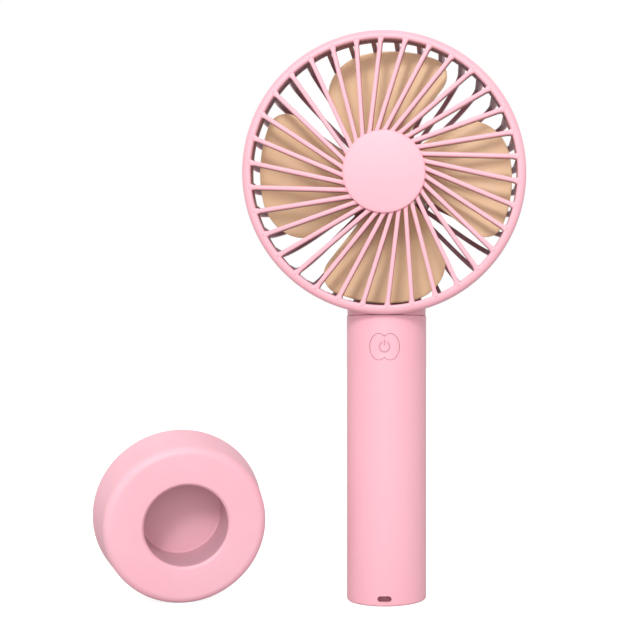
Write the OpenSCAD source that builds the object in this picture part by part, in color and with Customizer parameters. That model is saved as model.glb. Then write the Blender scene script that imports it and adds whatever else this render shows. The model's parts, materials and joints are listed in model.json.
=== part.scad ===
// Handheld electric fan with a caged head, a tubular handle and a loose desk base.
// Millimetres. The origin is the middle of the handle's foot, +Z is up and the front faces -Y.

/* [Handle] */
// Outer diameter of the handle tube
handle_d = 30; // [29:0.5:34]
// Height of the handle, from the foot up to its flat top under the head
handle_len = 107; // [104:0.2:130]
// Wall of the handle tube
handle_wall = 1.8; // [1.4:0.1:2]
// Rounding of the handle's lower edge
handle_edge = 0.8; // [0.4:0.1:1.2]
// Gap between the handle's top and the head
saddle_gap = 0.2; // [0.1:0.05:0.5]
// Width of the strap slot low on the front
strap_slot_w = 5.2; // [4:0.1:7]
// Height of the strap slot
strap_slot_h = 2.2; // [1.8:0.1:2.6]
// Height of the strap slot's middle above the foot
strap_slot_z = 2.8; // [2.6:0.1:3.2]
// Thickness of the plug that closes the foot
foot_cap_t = 4.8; // [4.6:0.1:7]
// Gap around pieces that slide into the tube
slip_gap = 0.15; // [0.1:0.01:0.25]

/* [Power button] */
// Width of the button over its two lobes
button_w = 10.8; // [10:0.1:12.5]
// Height of the button
button_h = 9.6; // [8:0.1:11]
// Half the width of each oval lobe
lobe_r = 3.3; // [3:0.05:3.9]
// How far the button's middle lies under the handle's top
button_drop = 11.6; // [10.5:0.1:14]
// Gap around the button in its opening
button_gap = 0.15; // [0.1:0.05:0.5]
// Travel of the button
button_travel = 0.5; // [0.3:0.05:0.7]
// How far the button's face lies under the handle's surface
button_sink = 0.25; // [0.25:0.05:0.4]
// Depth of the finger dish in the button's face
dish_depth = 0.3; // [0.1:0.05:0.5]
// Width across the power sign on the button
sign_d = 4.3; // [3.6:0.1:5.4]
// Width of the sign's raised line
sign_line = 0.55; // [0.4:0.05:0.8]
// Height of the sign's raised line
sign_rise = 0.18; // [0.1:0.02:0.3]

/* [Head ring and grille] */
// Outer diameter of the front ring
ring_d = 103.8; // [98:0.2:112]
// Radial width of the front ring
ring_band = 3.3; // [3:0.1:4.5]
// Depth of the front ring from its face to its seam
ring_depth = 3.9; // [3.9:0.1:8]
// Length of the lap joint behind the ring
lap_len = 1.3; // [1:0.1:4]
// Rounding of the ring's outer front edge
ring_round = 2.2; // [1:0.1:2.4]
// How far the face of the grille stands in front of the handle's axis
face_reach = 18.5; // [17.5:0.1:21]
// Number of straight spokes in the front grille
spoke_count = 34; // [24:1:36]
// Sideways offset of each spoke from the middle, which gives the swirl
spoke_offset = 6.95; // [4:0.05:9]
// Turn of the first spoke
spoke_phase = -1.5; // [-6:0.1:6]
// Width of a spoke
spoke_w = 1.6; // [1.2:0.05:1.9]
// Depth of a spoke, front to back
spoke_depth = 3.6; // [3:0.1:3.6]
// Diameter of the plain disc in the middle of the grille
hub_cap_d = 30.2; // [27:0.2:34]
// Thickness of that disc at its edge
hub_cap_t = 1; // [0.8:0.1:1.6]
// Extra height of the disc's crown
hub_cap_crown = 0.8; // [0.3:0.1:1.2]
// Diameter of the peg that holds the disc in the grille
hub_peg_d = 12; // [8:0.2:16]

/* [Rear guard] */
// Number of rib places in the rear guard; the broad rib takes the lowest ones
rib_count = 36; // [24:1:40]
// Width of a rib
rib_w = 1.6; // [1.2:0.05:2]
// Depth of a rib
rib_depth = 2.6; // [2.2:0.1:3.2]
// Depth of the plain rim behind the ring's seam
rim_depth = 1.2; // [1:0.1:5]
// Step from the ring's outside down to the rear guard's outside
rim_step = 0.8; // [0.4:0.1:1.2]
// Radius of the guard's rounded shoulder
shoulder_r = 17; // [12:0.5:18]
// How far the guard reaches behind the handle's axis
guard_reach = 18.7; // [18.2:0.1:22]
// Diameter of the closed disc in the middle of the guard
rear_disc_d = 36; // [35:0.5:42]
// Thickness of that disc
rear_disc_t = 1.8; // [1.4:0.1:2.2]
// Width of the broad rib that carries the motor leads
spine_w = 9; // [8:0.5:12]
// Width of the lead groove in it
groove_w = 5; // [4.4:0.1:6]
// Depth of the lead groove
groove_t = 1.5; // [1.2:0.1:1.7]
// Step from the handle's surface in to the neck's surface
neck_step = 0.2; // [0.15:0.05:0.4]
// Length of the neck peg inside the handle
neck_len = 6.4; // [5.5:0.1:7]

/* [Impeller] */
// Gap between the blade tips and the guard's rim
tip_gap = 1.1; // [1:0.1:6]
// Number of blades
blade_count = 4; // [3:1:4]
// Half of the angle that a blade spans
blade_half_angle = 34; // [26:0.5:38]
// Turn of the first blade
blade_phase = 0.5; // [-20:0.5:20]
// Turn of a blade's root ahead of its tip
blade_sweep = 10.5; // [0:0.5:14]
// Length of the round at the front corner of a blade's tip
front_corner = 8.8; // [4:0.1:14]
// Length of the round at the rear corner of a blade's tip
rear_corner = 13; // [6:0.1:18]
// Half of the front-to-back reach of a blade at its tip
blade_pitch = 5.5; // [3.5:0.1:6]
// Half of the front-to-back reach of a blade at the hub
blade_root_pitch = 4; // [2.5:0.1:4.5]
// Thickness of a blade
blade_t = 1.3; // [1:0.1:1.8]
// How far the blades' middle stands in front of the handle's axis
blade_reach = 3.5; // [3:0.1:5]
// Diameter of the impeller's hub
impeller_hub_d = 26.4; // [24:0.2:27.4]
// Wall of the impeller's hub
impeller_wall = 1.6; // [1.2:0.1:2]

/* [Motor] */
// Diameter of the motor can
motor_d = 24.4; // [24:0.1:25.4]
// Length of the motor can
motor_len = 12.3; // [12:0.1:12.6]
// Wall of the motor can
motor_wall = 0.8; // [0.6:0.05:1]
// Diameter of the motor shaft
shaft_d = 2; // [1.8:0.1:2.4]
// Running clearance of the shaft in its bushes
shaft_gap = 0.03; // [0.02:0.01:0.08]
// Clearance of pieces that are pressed together
press_gap = 0.02; // [0.01:0.01:0.05]
// Diameter of the shaft bushes
bush_d = 5; // [4.4:0.1:5.6]
// Wall of the cup that holds the motor
cup_wall = 1.85; // [1.6:0.05:2.2]
// Thickness of the plate that keeps the motor in its cup
keeper_t = 1; // [0.8:0.1:1.2]
// Air gap between armature and magnets
air_gap = 0.4; // [0.3:0.05:0.6]

/* [Battery and boards] */
// Diameter of the battery cell
cell_d = 18.5; // [17.5:0.1:18.7]
// Length of the handle that the battery cell leaves for the foot, the boards and the neck
cell_room = 42; // [41:0.1:48]
// Wall of the battery sled
sled_wall = 1.7; // [1.4:0.1:1.9]
// Thickness of the sled's floor, ribs and ceiling
sled_floor_t = 1.6; // [1.4:0.1:2]
// Thickness of both circuit boards
board_t = 1.2; // [0.8:0.1:1.6]
// Width of the control board
control_w = 20; // [19:0.1:20.4]
// Height of the control board
control_h = 18; // [17:0.1:18.5]
// How far the control board's front stands in front of the handle's axis
control_reach = 4.6; // [4.2:0.1:5]
// Width of the charging socket's shell
usb_w = 8.9; // [8.4:0.1:9.2]
// Height of the charging socket's shell
usb_h = 3.2; // [3:0.1:3.4]
// Length of the charging socket's shell
usb_len = 7.3; // [6.5:0.1:8]
// Diameter of the leads' insulation
lead_d = 1; // [0.8:0.1:1.2]

/* [Fasteners] */
// Shank diameter of the small screws
screw_d = 1.8; // [1.6:0.1:2]
// Head diameter of the small screws
screw_head_d = 3.4; // [3:0.1:3.6]

/* [Desk base] */
// Diameter of the base at its foot
base_d = 64; // [60:0.5:70]
// Height of the base
base_h = 24; // [20:0.5:30]
// Taper of the base's side, in degrees from its axis
base_taper = 6.5; // [4:0.1:9]
// Rounding of the base's upper edge
base_shoulder_r = 3.2; // [2:0.1:4]
// Rounding of the base's foot edge
base_edge = 0.8; // [0.5:0.1:1]
// Gap around the handle in the base's socket
socket_gap = 0.4; // [0.2:0.05:0.5]
// Wall between the socket and the hollow, and of the base's side
base_wall = 2.2; // [1.8:0.1:2.8]
// Thickness of the socket's floor
socket_floor_t = 2; // [1.6:0.1:3]
// Thickness of the plate that closes the base
base_plate_t = 1.6; // [1.2:0.1:2]
// Place of the base's lower edge beside the fan, along X
base_x = -82; // [-110:1:-78]
// Place of the base's lower edge, along Y
base_y = 12; // [-20:1:30]
// Turn of the lying base's mouth to the right of straight ahead
base_yaw = 20; // [0:1:40]

/* [Hidden] */
$fn = 96;

pink = "#fcc4d0";
tan = "#cda36e";
steel = "#b9bcc2";
brass = "#c9a94e";
copper = "#b8683a";
black = "#2a2a2d";
green = "#2f6b45";
white = "#e9e6df";
eps = 0.01;

// Handle and head, from the foot up
handle_r = handle_d / 2;
bore_r = handle_r - handle_wall;
ring_r = ring_d / 2;
opening_r = ring_r - ring_band;
head_z = handle_len + saddle_gap + ring_r;

// Depths in the head's own frame, measured forwards from the handle's axis
seam = face_reach - ring_depth;
lap_end = seam - lap_len;
lap_gap = 0.2;
rim_r = ring_r - rim_step;
rim_inner_r = rim_r - rib_depth;
rib_inset = 0.15;
spine_inset = 0.3;
neck_skin = rib_depth - 0.3;
neck_front = lap_end - 0.5;
spine_clear = asin((spine_w / 2 + rib_w) / rim_r);
lap_r = (rim_r + rim_inner_r) / 2;
rim_end = lap_end - rim_depth;
rear_face = -guard_reach;
rear_inside = rear_face + rear_disc_t;
shoulder_f = rear_face + shoulder_r;
hub_r = hub_cap_d / 2 - 1;
hub_front = face_reach - 0.2;
spoke_back = face_reach - spoke_depth;
spoke_round = 0.5;
lip_round = 0.8;

// Motor, behind the blades
motor_back_gap = 1.2;
can_back = rear_inside + motor_back_gap;
can_front = can_back + motor_len;
motor_r = motor_d / 2;
can_inner_r = motor_r - motor_wall;
cup_r = motor_r + slip_gap + cup_wall;
end_cap_t = 1.7;
end_cap_in = can_back + end_cap_t;
collar_t = 1;
keeper_front = can_front + keeper_t;
shaft_r = shaft_d / 2;
bush_r = bush_d / 2;
magnet_r = can_inner_r - press_gap;
magnet_t = 2.35;
armature_r = magnet_r - magnet_t - air_gap;
core_front = can_front - motor_wall - 1.4;
core_len = 5;
core_back = core_front - core_len;
armature_arm_w = 2.6;
armature_turns = [90, 210, 330];
pole_t = 1.4;
winding_over = 0.7;
commutator_r = 2.2;
commutator_front = core_back - winding_over - 0.2;
commutator_back = end_cap_in + 0.3;
boss_r = 2;
boss_orbit = cup_r + boss_r - 0.6;
boss_angles = [90, 210, 330];
screw_r = screw_d / 2;
screw_head_r = screw_head_d / 2;
screw_cone = screw_head_r - screw_r;
motor_screw_len = 5;

// Impeller
blade_r = rim_inner_r - tip_gap;
impeller_r = impeller_hub_d / 2;
impeller_front = blade_reach + blade_root_pitch + 2;
impeller_back = keeper_front + 0.9;
impeller_boss_r = shaft_r + 2.2;
shaft_front = impeller_front - 1;
blade_root_r = impeller_r - impeller_wall / 2;
blade_rows = 12;
blade_cols = 8;

// Inside of the handle, from the foot up
sled_r = bore_r - slip_gap;
sled_bottom = foot_cap_t + 0.05;
cell_r = cell_d / 2;
cell_len = handle_len - cell_room;
tab_t = 0.2;
cell_bottom = sled_bottom + sled_floor_t + tab_t + 0.1;
insulator_t = 0.4;
cell_top = cell_bottom + cell_len;
ceiling_z = cell_top + insulator_t + tab_t + 0.1;
charge_z = ceiling_z + sled_floor_t;
usb_z = charge_z + board_t + usb_h / 2;
usb_mouth = handle_r - 0.9;
usb_gap = 0.35;
usb_wall = 0.35;
button_z = handle_len - button_drop;
lobe_x = button_w / 2 - lobe_r;
lobe_steps = 48;
button_face_r = handle_r - button_sink;
flange_r = bore_r - 0.3;
flange_t = 1.2;
control_top = button_z + 3.9;
control_bottom = control_top - control_h;
control_back = -control_reach + board_t;
switch_side = 6;
switch_h = 3.1;
plunger_r = 1.7;
plunger_rest = control_reach + switch_h + 1.8;
switch_well = control_reach + 1.2;
plunger_back = switch_well + button_travel + 0.4;
sled_top = control_top;
neck_bottom = handle_len - neck_len;
neck_screw_z = neck_bottom + 3;
neck_screw_turn = 50;
neck_screw_len = 6;
wire_slot_y = 7;
peg_front = 8.5;
wire_slot_t = 6;
lead_r = lead_d / 2;
lead_x = 1.3;
rail_in = 7.4;
foot_screw_x = 8;
foot_screw_len = foot_cap_t + sled_floor_t;
board_screw_x = 8.7;
board_screw_z = control_bottom + 3;
board_screw_len = 4.4;
charge_r = sled_r - sled_wall - 0.3;
charge_front = 4;
cell_lead_r = 11.2;
cell_lead_turn = 212;
lead_in = 5;
lead_rise = 2.5;
solder_gap = 0.05;
tab_w = 4;
cell_pip_r = 3;

// Desk base, standing upright in its own frame
base_edge_r = base_d / 2 - base_edge;
base_rise = base_h - base_shoulder_r - base_edge;
base_mouth_r = base_edge_r - (base_rise * sin(base_taper) + base_shoulder_r - base_edge) / cos(base_taper);
socket_r = handle_r + socket_gap;
plate_z = 0.8;
plate_r = base_d / 2 - base_wall - 0.4;
base_post_r = 2.6;
base_post_orbit = (socket_r + base_wall + plate_r) / 2;
pad_r = 3.4;
base_screw_len = 8;
base_turns = [45, 135, 225, 315];

// Points along an arc in the plane, from angle a to angle b
function arc(cx, cy, r, a, b, n = 8) =
    [for (i = [0:n]) [cx + r * cos(a + (b - a) * i / n), cy + r * sin(a + (b - a) * i / n)]];

// Places its children in the head: x to the right, y up and z forwards from the handle's axis
module in_head() {
    translate([0, 0, head_z]) rotate([90, 0, 0]) children();
}

// A round bar in the head's frame, from depth a forwards to depth b
module head_rod(r, a, b) {
    translate([0, 0, a]) cylinder(r = r, h = b - a);
}

// A tube in the head's frame
module head_tube(r, hole, a, b) {
    difference() {
        head_rod(r, a, b);
        head_rod(hole, a - 1, b + 1);
    }
}

// A countersunk screw that points down from a face at z = 0
module flat_screw(len) {
    drive_r = screw_r * 0.5;
    difference() {
        union() {
            translate([0, 0, -len]) cylinder(r = screw_r, h = len);
            translate([0, 0, -screw_cone]) cylinder(r1 = screw_r, r2 = screw_head_r, h = screw_cone);
        }
        for (turn = [0, 90]) rotate(turn)
            translate([-drive_r * 2, -0.2, -0.5]) cube([drive_r * 4, 0.4, 1]);
    }
}

// The room for such a screw, wider by gap
module screw_room(len, gap) {
    translate([0, 0, -len]) cylinder(r = screw_r + gap, h = len + 1);
    translate([0, 0, -screw_cone - gap])
        cylinder(r1 = screw_r + gap, r2 = screw_head_r + 2 * gap, h = screw_cone + gap + eps);
    cylinder(r = screw_head_r + 2 * gap, h = 1);
}

// A straight bar with softly rounded front edges, from radius a to radius b along x
module spoke(a, b) {
    half = spoke_w / 2;
    section = concat(
        [[-half, spoke_back], [half, spoke_back]],
        arc(half - spoke_round, face_reach - spoke_round, spoke_round, 0, 90, 3),
        arc(-half + spoke_round, face_reach - spoke_round, spoke_round, 90, 180, 3)
    );
    translate([a, spoke_offset, 0]) rotate([90, 0, 90]) linear_extrude(b - a) polygon(section);
}

module front_grille() {
    lap_out = lap_r + lap_gap / 2;
    ring_section = concat(
        [[opening_r, seam + lap_gap], [lap_out, seam + lap_gap], [lap_out, lap_end + lap_gap],
         [ring_r, lap_end + lap_gap]],
        arc(ring_r - ring_round, face_reach - ring_round, ring_round, 0, 90),
        arc(opening_r + lip_round, face_reach - lip_round, lip_round, 90, 180, 5)
    );
    inner_end = sqrt(pow(hub_r - 1, 2) - pow(spoke_offset, 2));
    outer_end = sqrt(pow(opening_r + ring_band / 3, 2) - pow(spoke_offset, 2));
    color(pink) in_head() {
        rotate_extrude() polygon(ring_section);
        head_tube(hub_r, hub_peg_d / 2 + press_gap, spoke_back, hub_front);
        for (i = [0:spoke_count - 1]) rotate(spoke_phase + i * 360 / spoke_count)
            spoke(inner_end, outer_end);
    }
}

module hub_cap() {
    cap_r = hub_cap_d / 2;
    crown = hub_cap_crown;
    dome_r = (cap_r * cap_r + crown * crown) / (2 * crown);
    color(pink) in_head() {
        intersection() {
            head_rod(cap_r, face_reach, face_reach + hub_cap_t + crown);
            translate([0, 0, face_reach + hub_cap_t + crown - dome_r]) sphere(r = dome_r, $fn = 240);
        }
        head_rod(hub_peg_d / 2, spoke_back + 0.4, face_reach + hub_cap_t / 2);
    }
}

// A rear rib in the plane of radius and depth, from the rim round the shoulder to the disc, set in by inset
module rib_section(inset) {
    reach_in = rear_disc_d / 2 - 1;
    outer = rim_r - inset;
    back = rear_face + inset;
    top = rim_end + 1;
    polygon(concat(
        [[outer, top]],
        arc(outer - shoulder_r, back + shoulder_r, shoulder_r, 0, -90, 10),
        [[reach_in, back], [reach_in, back + rib_depth]],
        arc(outer - shoulder_r, back + shoulder_r, shoulder_r - rib_depth, -90, 0, 10),
        [[outer - rib_depth, top]]
    ));
}

// The space inside the rear guard
module guard_inside() {
    rotate_extrude() polygon(concat(
        [[0, face_reach], [rim_r - neck_skin, face_reach]],
        arc(rim_r - shoulder_r, shoulder_f, shoulder_r - neck_skin, 0, -90, 10),
        [[0, rear_face + neck_skin]]
    ));
}

// The solid block where the head meets the handle, with the peg that goes into the tube
module neck() {
    difference() {
        union() {
            intersection() {
                translate([0, 0, handle_len + saddle_gap]) cylinder(r = handle_r - neck_step, h = ring_r);
                translate([-handle_r, -neck_front, 0]) cube([handle_d, handle_d, 2 * head_z]);
            }
            difference() {
                translate([0, 0, neck_bottom])
                    cylinder(r = bore_r - slip_gap, h = neck_len + rib_depth + 2);
                translate([-handle_r, -handle_d - peg_front, 0]) cube([handle_d, handle_d, head_z]);
            }
        }
        in_head() guard_inside();
        for (side = [-1, 1]) neck_screw_place(side) screw_room(neck_screw_len + 0.5, press_gap);
    }
}

module neck_screw_place(side) {
    translate([0, 0, neck_screw_z]) rotate([0, 0, 90 + side * neck_screw_turn])
        translate([handle_r, 0, 0]) rotate([0, 90, 0]) children();
}

module rear_guard() {
    lap_in = lap_r - lap_gap / 2;
    rim = [
        [rim_inner_r, rim_end], [rim_r, rim_end], [rim_r, lap_end],
        [lap_in, lap_end], [lap_in, seam], [rim_inner_r, seam]
    ];
    color(pink) {
        difference() {
            union() {
                in_head() {
                    rotate_extrude() polygon(rim);
                    for (i = [0:rib_count - 1]) let (turn = (i + 0.5) * 360 / rib_count)
                        if (abs(turn - 270) > spine_clear) rotate(turn)
                            rotate([90, 0, 0]) linear_extrude(rib_w, center = true) rib_section(rib_inset);
                    rotate(-90) rotate([90, 0, 0]) linear_extrude(spine_w, center = true)
                        rib_section(spine_inset);
                    head_rod(rear_disc_d / 2, rear_face, rear_inside);
                    head_tube(cup_r, motor_r + slip_gap, rear_inside - eps, can_front);
                    for (turn = boss_angles) rotate(turn) translate([boss_orbit, 0, 0])
                        head_rod(boss_r, rear_inside - eps, can_front - 0.1);
                }
                neck();
            }
            in_head() {
                head_rod(motor_r + slip_gap, rear_inside, can_front + 1);
                for (turn = boss_angles) rotate(turn) translate([boss_orbit, 0, keeper_front])
                    screw_room(motor_screw_len + 0.6, press_gap);
                rotate(-90) rotate([90, 0, 0]) linear_extrude(groove_w, center = true) groove_section();
                translate([-groove_w / 2, -cup_r - 1, rear_inside]) cube([groove_w, cup_wall + 3, 3]);
            }
            translate([-groove_w / 2, wire_slot_y - wire_slot_t / 2, neck_bottom - 1])
                cube([groove_w, wire_slot_t, neck_len + saddle_gap + rim_step + 2 * rib_depth + 1]);
        }
    }
}

// The lead groove along the inside of the broad rib
module groove_section() {
    near = rib_depth + 0.5;
    far = rib_depth - groove_t;
    polygon(concat(
        [[rim_r - near, shoulder_f + 1], [rim_r - far, shoulder_f + 1]],
        arc(rim_r - shoulder_r, shoulder_f, shoulder_r - far, 0, -90, 10),
        [[cup_r - 1, rear_face + far], [cup_r - 1, rear_face + near]],
        arc(rim_r - shoulder_r, shoulder_f, shoulder_r - near, -90, 0, 10)
    ));
}

// Half-angle of a blade's edge at radius r, with the tip corner rounded over the last `corner` of it
function blade_edge(r, corner, tip_share) =
    let (
        full = blade_half_angle * (1 + 0.16 * (1 - r / blade_r)),
        start = blade_r - corner,
        t = r > start ? (r - start) / corner : 0,
        tip = blade_half_angle * tip_share
    )
    tip + (full - tip) * sqrt(max(0, 1 - t * t));

// A point on a blade's middle surface: row counts outwards, col runs from the front edge to the rear edge
function blade_point(row, col, lift) =
    let (
        r = blade_root_r + (blade_r - blade_root_r) * sin(90 * row / blade_rows),
        front = -blade_edge(r, front_corner, 0.7),
        back = blade_edge(r, rear_corner, 0.3),
        turn = front + (back - front) * col / blade_cols,
        share = (r - blade_root_r) / (blade_r - blade_root_r),
        reach = blade_root_pitch + (blade_pitch - blade_root_pitch) * share,
        place = turn + blade_sweep * pow(1 - share, 1.65)
    )
    [r * cos(place), r * sin(place), blade_reach - reach * turn / blade_half_angle + lift];

module blade() {
    cols = blade_cols + 1;
    count = (blade_rows + 1) * cols;
    points = [for (lift = [blade_t / 2, -blade_t / 2], row = [0:blade_rows], col = [0:blade_cols])
        blade_point(row, col, lift)];
    front = [for (row = [0:blade_rows - 1], col = [0:blade_cols - 1]) let (a = row * cols + col)
        each [[a, a + 1, a + cols], [a + 1, a + cols + 1, a + cols]]];
    back = [for (f = front) [f[2] + count, f[1] + count, f[0] + count]];
    sides = [for (row = [0:blade_rows - 1], col = [0, blade_cols])
        let (a = row * cols + col, b = a + cols, p = col == 0 ? [a, b] : [b, a])
        each [[p[0], p[1], p[1] + count], [p[0], p[1] + count, p[0] + count]]];
    ends = [for (row = [0, blade_rows], col = [0:blade_cols - 1])
        let (a = row * cols + col, b = a + 1, p = row == 0 ? [b, a] : [a, b])
        each [[p[0], p[1], p[1] + count], [p[0], p[1] + count, p[0] + count]]];
    polyhedron(points, concat(front, back, sides, ends));
}

module impeller() {
    color(tan) in_head() difference() {
        union() {
            difference() {
                head_rod(impeller_r, impeller_back, impeller_front);
                head_rod(impeller_r - impeller_wall, impeller_back - 1, impeller_front - impeller_wall);
            }
            head_rod(impeller_boss_r, impeller_back, impeller_front - eps);
            difference() {
                for (i = [0:blade_count - 1]) rotate(blade_phase + i * 360 / blade_count) blade();
                head_rod(impeller_r - impeller_wall / 2, impeller_back - 5, impeller_front + 5);
            }
        }
        head_rod(shaft_r + press_gap, impeller_back - 1, shaft_front);
    }
}

module motor_can() {
    color(steel) in_head() difference() {
        union() {
            head_rod(motor_r, can_back, can_front);
            head_rod(bush_r + motor_wall, can_front - eps, can_front + collar_t);
        }
        head_rod(can_inner_r, can_back - 1, can_front - motor_wall);
        head_rod(bush_r + press_gap, can_back, can_front + collar_t + 1);
    }
}

module motor_end_cap() {
    color(white) in_head() head_tube(can_inner_r - press_gap, bush_r + press_gap, can_back, end_cap_in);
}

module motor_magnets() {
    front = can_front - motor_wall - 0.8;
    back = end_cap_in + 1;
    color("#4a4d52") in_head() for (side = [0, 180]) rotate(side) intersection() {
        head_tube(magnet_r, magnet_r - magnet_t, back, front);
        translate([1.6, -motor_d, back]) cube([motor_d, 2 * motor_d, front - back]);
    }
}

module front_bush() {
    color(brass) in_head()
        head_tube(bush_r, shaft_r + shaft_gap, can_front - motor_wall - 0.5, can_front + collar_t);
}

module rear_bush() {
    color(brass) in_head() head_tube(bush_r, shaft_r + shaft_gap, can_back, end_cap_in + 0.2);
}

module motor_shaft() {
    color("#d5d8dd") in_head() head_rod(shaft_r, can_back + 0.4, shaft_front - press_gap);
}

module armature_core() {
    color("#6b7078") in_head() difference() {
        union() {
            head_rod(3, core_back, core_front);
            for (turn = armature_turns) rotate(turn) {
                translate([2, -armature_arm_w / 2, core_back + 0.1])
                    cube([armature_r - 3, armature_arm_w, core_len - 0.2]);
                intersection() {
                    head_tube(armature_r, armature_r - pole_t, core_back, core_front);
                    translate([armature_r * 0.62, -armature_r, core_back])
                        cube([armature_r, 2 * armature_r, core_len]);
                }
            }
        }
        head_rod(shaft_r + press_gap, core_back - 1, core_front + 1);
    }
}

module armature_windings() {
    coil_w = 6;
    inner = 3.4;
    outer = armature_r - pole_t - 1;
    color(copper) in_head() for (turn = armature_turns) rotate(turn) difference() {
        translate([inner, -coil_w / 2, core_back - winding_over])
            cube([outer - inner, coil_w, core_len + 2 * winding_over]);
        translate([inner - 1, -armature_arm_w / 2 - press_gap, core_back - press_gap])
            cube([outer, armature_arm_w + 2 * press_gap, core_len + 2 * press_gap]);
    }
}

module commutator() {
    color(copper) in_head() head_tube(commutator_r, shaft_r + press_gap, commutator_back, commutator_front);
}

module motor_brushes() {
    blade_h = 0.6;
    touch = 0.35;
    color(copper) in_head() for (side = [-1, 1])
        translate([side * (commutator_r + touch + blade_h / 2) - blade_h / 2, -1.2, end_cap_in])
            cube([blade_h, 2.4, 1.8]);
}

module motor_terminals() {
    color(brass) in_head() for (side = [-1, 1])
        translate([side * lead_x - 0.8, -motor_r + 2.2, can_back - 0.4]) cube([1.6, 5, 0.4]);
}

module motor_keeper() {
    color(white) in_head() difference() {
        union() {
            head_rod(cup_r, can_front, keeper_front);
            for (turn = boss_angles) rotate(turn) translate([boss_orbit, 0, 0])
                head_rod(boss_r, can_front, keeper_front);
        }
        head_rod(bush_r + motor_wall + 0.6, can_front - 1, keeper_front + 1);
        for (turn = boss_angles) rotate(turn) translate([boss_orbit, 0, keeper_front])
            screw_room(motor_screw_len, press_gap);
    }
}

module motor_screws() {
    color(steel) in_head() for (turn = boss_angles) rotate(turn)
        translate([boss_orbit, 0, keeper_front]) flat_screw(motor_screw_len);
}

module neck_screws() {
    color(steel) for (side = [-1, 1]) neck_screw_place(side) flat_screw(neck_screw_len);
}

// Outline of the button: two upright lobes side by side, wider all round by grow
module button_outline(grow) {
    for (side = [-1, 1]) translate([side * lobe_x, 0]) polygon([
        for (i = [0:lobe_steps - 1]) let (turn = i * 360 / lobe_steps)
            [(lobe_r + grow) * cos(turn), (button_h / 2 + grow) * sin(turn)]
    ]);
}

// The outline pushed through the front of the handle, from radius a out to radius b
module button_block(grow, a, b) {
    intersection() {
        translate([0, 0, button_z]) rotate([90, 0, 0]) linear_extrude(handle_d) button_outline(grow);
        difference() {
            cylinder(r = b, h = handle_len);
            translate([0, 0, -1]) cylinder(r = a, h = handle_len + 2);
        }
    }
}

// A flat slot with round ends, in the plane
module stadium(w, h) {
    for (side = [-1, 1]) translate([side * (w - h) / 2, 0]) circle(d = h);
    square([w - h, h], center = true);
}

module handle_tube() {
    wall_section = concat(
        arc(handle_r - handle_edge, handle_edge, handle_edge, -90, 0, 6),
        [[handle_r, handle_len], [bore_r, handle_len], [bore_r, 0]]
    );
    color(pink) difference() {
        rotate_extrude() polygon(wall_section);
        button_block(button_gap, bore_r - 1, handle_r + 1);
        translate([0, 0, strap_slot_z]) rotate([90, 0, 0]) linear_extrude(handle_d)
            stadium(strap_slot_w, strap_slot_h);
        translate([0, 0, usb_z]) rotate([-90, 0, 0]) linear_extrude(handle_d)
            stadium(usb_w + 2 * usb_gap, usb_h + 2 * usb_gap);
        for (side = [-1, 1]) neck_screw_place(side) screw_room(neck_screw_len, press_gap);
    }
}

module foot_cap() {
    pocket_top = strap_slot_z + strap_slot_h / 2;
    color(pink) difference() {
        cylinder(r = bore_r - slip_gap, h = foot_cap_t);
        translate([-strap_slot_w / 2, -bore_r - 1, -1]) cube([strap_slot_w, 5, pocket_top + 1]);
        for (side = [-1, 1]) translate([side * foot_screw_x, 0, 0]) rotate([180, 0, 0])
            screw_room(foot_screw_len, press_gap);
    }
}

module foot_screws() {
    color(steel) for (side = [-1, 1]) translate([side * foot_screw_x, 0, 0]) rotate([180, 0, 0])
        flat_screw(foot_screw_len);
}

module power_button() {
    stem_front = flange_r - flange_t;
    dish_r = (pow(button_h / 2, 2) + pow(dish_depth, 2)) / (2 * dish_depth);
    face = button_face_r - dish_depth;
    color(pink) {
        difference() {
            union() {
                button_block(0, flange_r - flange_t, button_face_r);
                button_block(1, flange_r - flange_t, flange_r);
            }
            translate([0, -face - dish_r, button_z]) sphere(r = dish_r, $fn = 240);
        }
        translate([0, 0, button_z]) rotate([90, 0, 0]) {
            translate([0, 0, plunger_rest])
                cylinder(r = plunger_r + 0.8, h = stem_front - plunger_rest + 0.6);
            intersection() {
                power_sign(face + sign_rise * 2);
                translate([0, 0, face + dish_r]) difference() {
                    sphere(r = dish_r + 0.3, $fn = 240);
                    sphere(r = dish_r - sign_rise, $fn = 240);
                }
            }
        }
    }
}

// The common power sign: an open ring with an upright bar in its gap
module power_sign(top) {
    gap_half = sign_line * 1.7;
    linear_extrude(top) {
        difference() {
            circle(d = sign_d);
            circle(d = sign_d - 2 * sign_line);
            translate([-gap_half, 0]) square([2 * gap_half, sign_d]);
        }
        translate([-sign_line / 2, sign_d * 0.1]) square([sign_line, sign_d * 0.5]);
    }
}

module switch_plunger() {
    color(black) translate([0, 0, button_z]) rotate([90, 0, 0])
        translate([0, 0, plunger_back]) cylinder(r = plunger_r, h = plunger_rest - plunger_back);
}

module tact_switch() {
    color("#54575c") difference() {
        translate([-switch_side / 2, -control_reach - switch_h, button_z - switch_side / 2])
            cube([switch_side, switch_h, switch_side]);
        translate([0, 0, button_z]) rotate([90, 0, 0]) translate([0, 0, switch_well])
            cylinder(r = plunger_r + 0.3, h = switch_h);
    }
}

module board_screw_place(side) {
    translate([side * board_screw_x, -control_reach, board_screw_z]) rotate([90, 0, 0]) children();
}

module control_board() {
    color(green) difference() {
        translate([-control_w / 2, -control_reach, control_bottom]) cube([control_w, board_t, control_h]);
        for (side = [-1, 1]) board_screw_place(side) screw_room(board_screw_len, press_gap);
    }
}

module board_screws() {
    color(steel) for (side = [-1, 1]) board_screw_place(side) flat_screw(board_screw_len);
}

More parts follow.
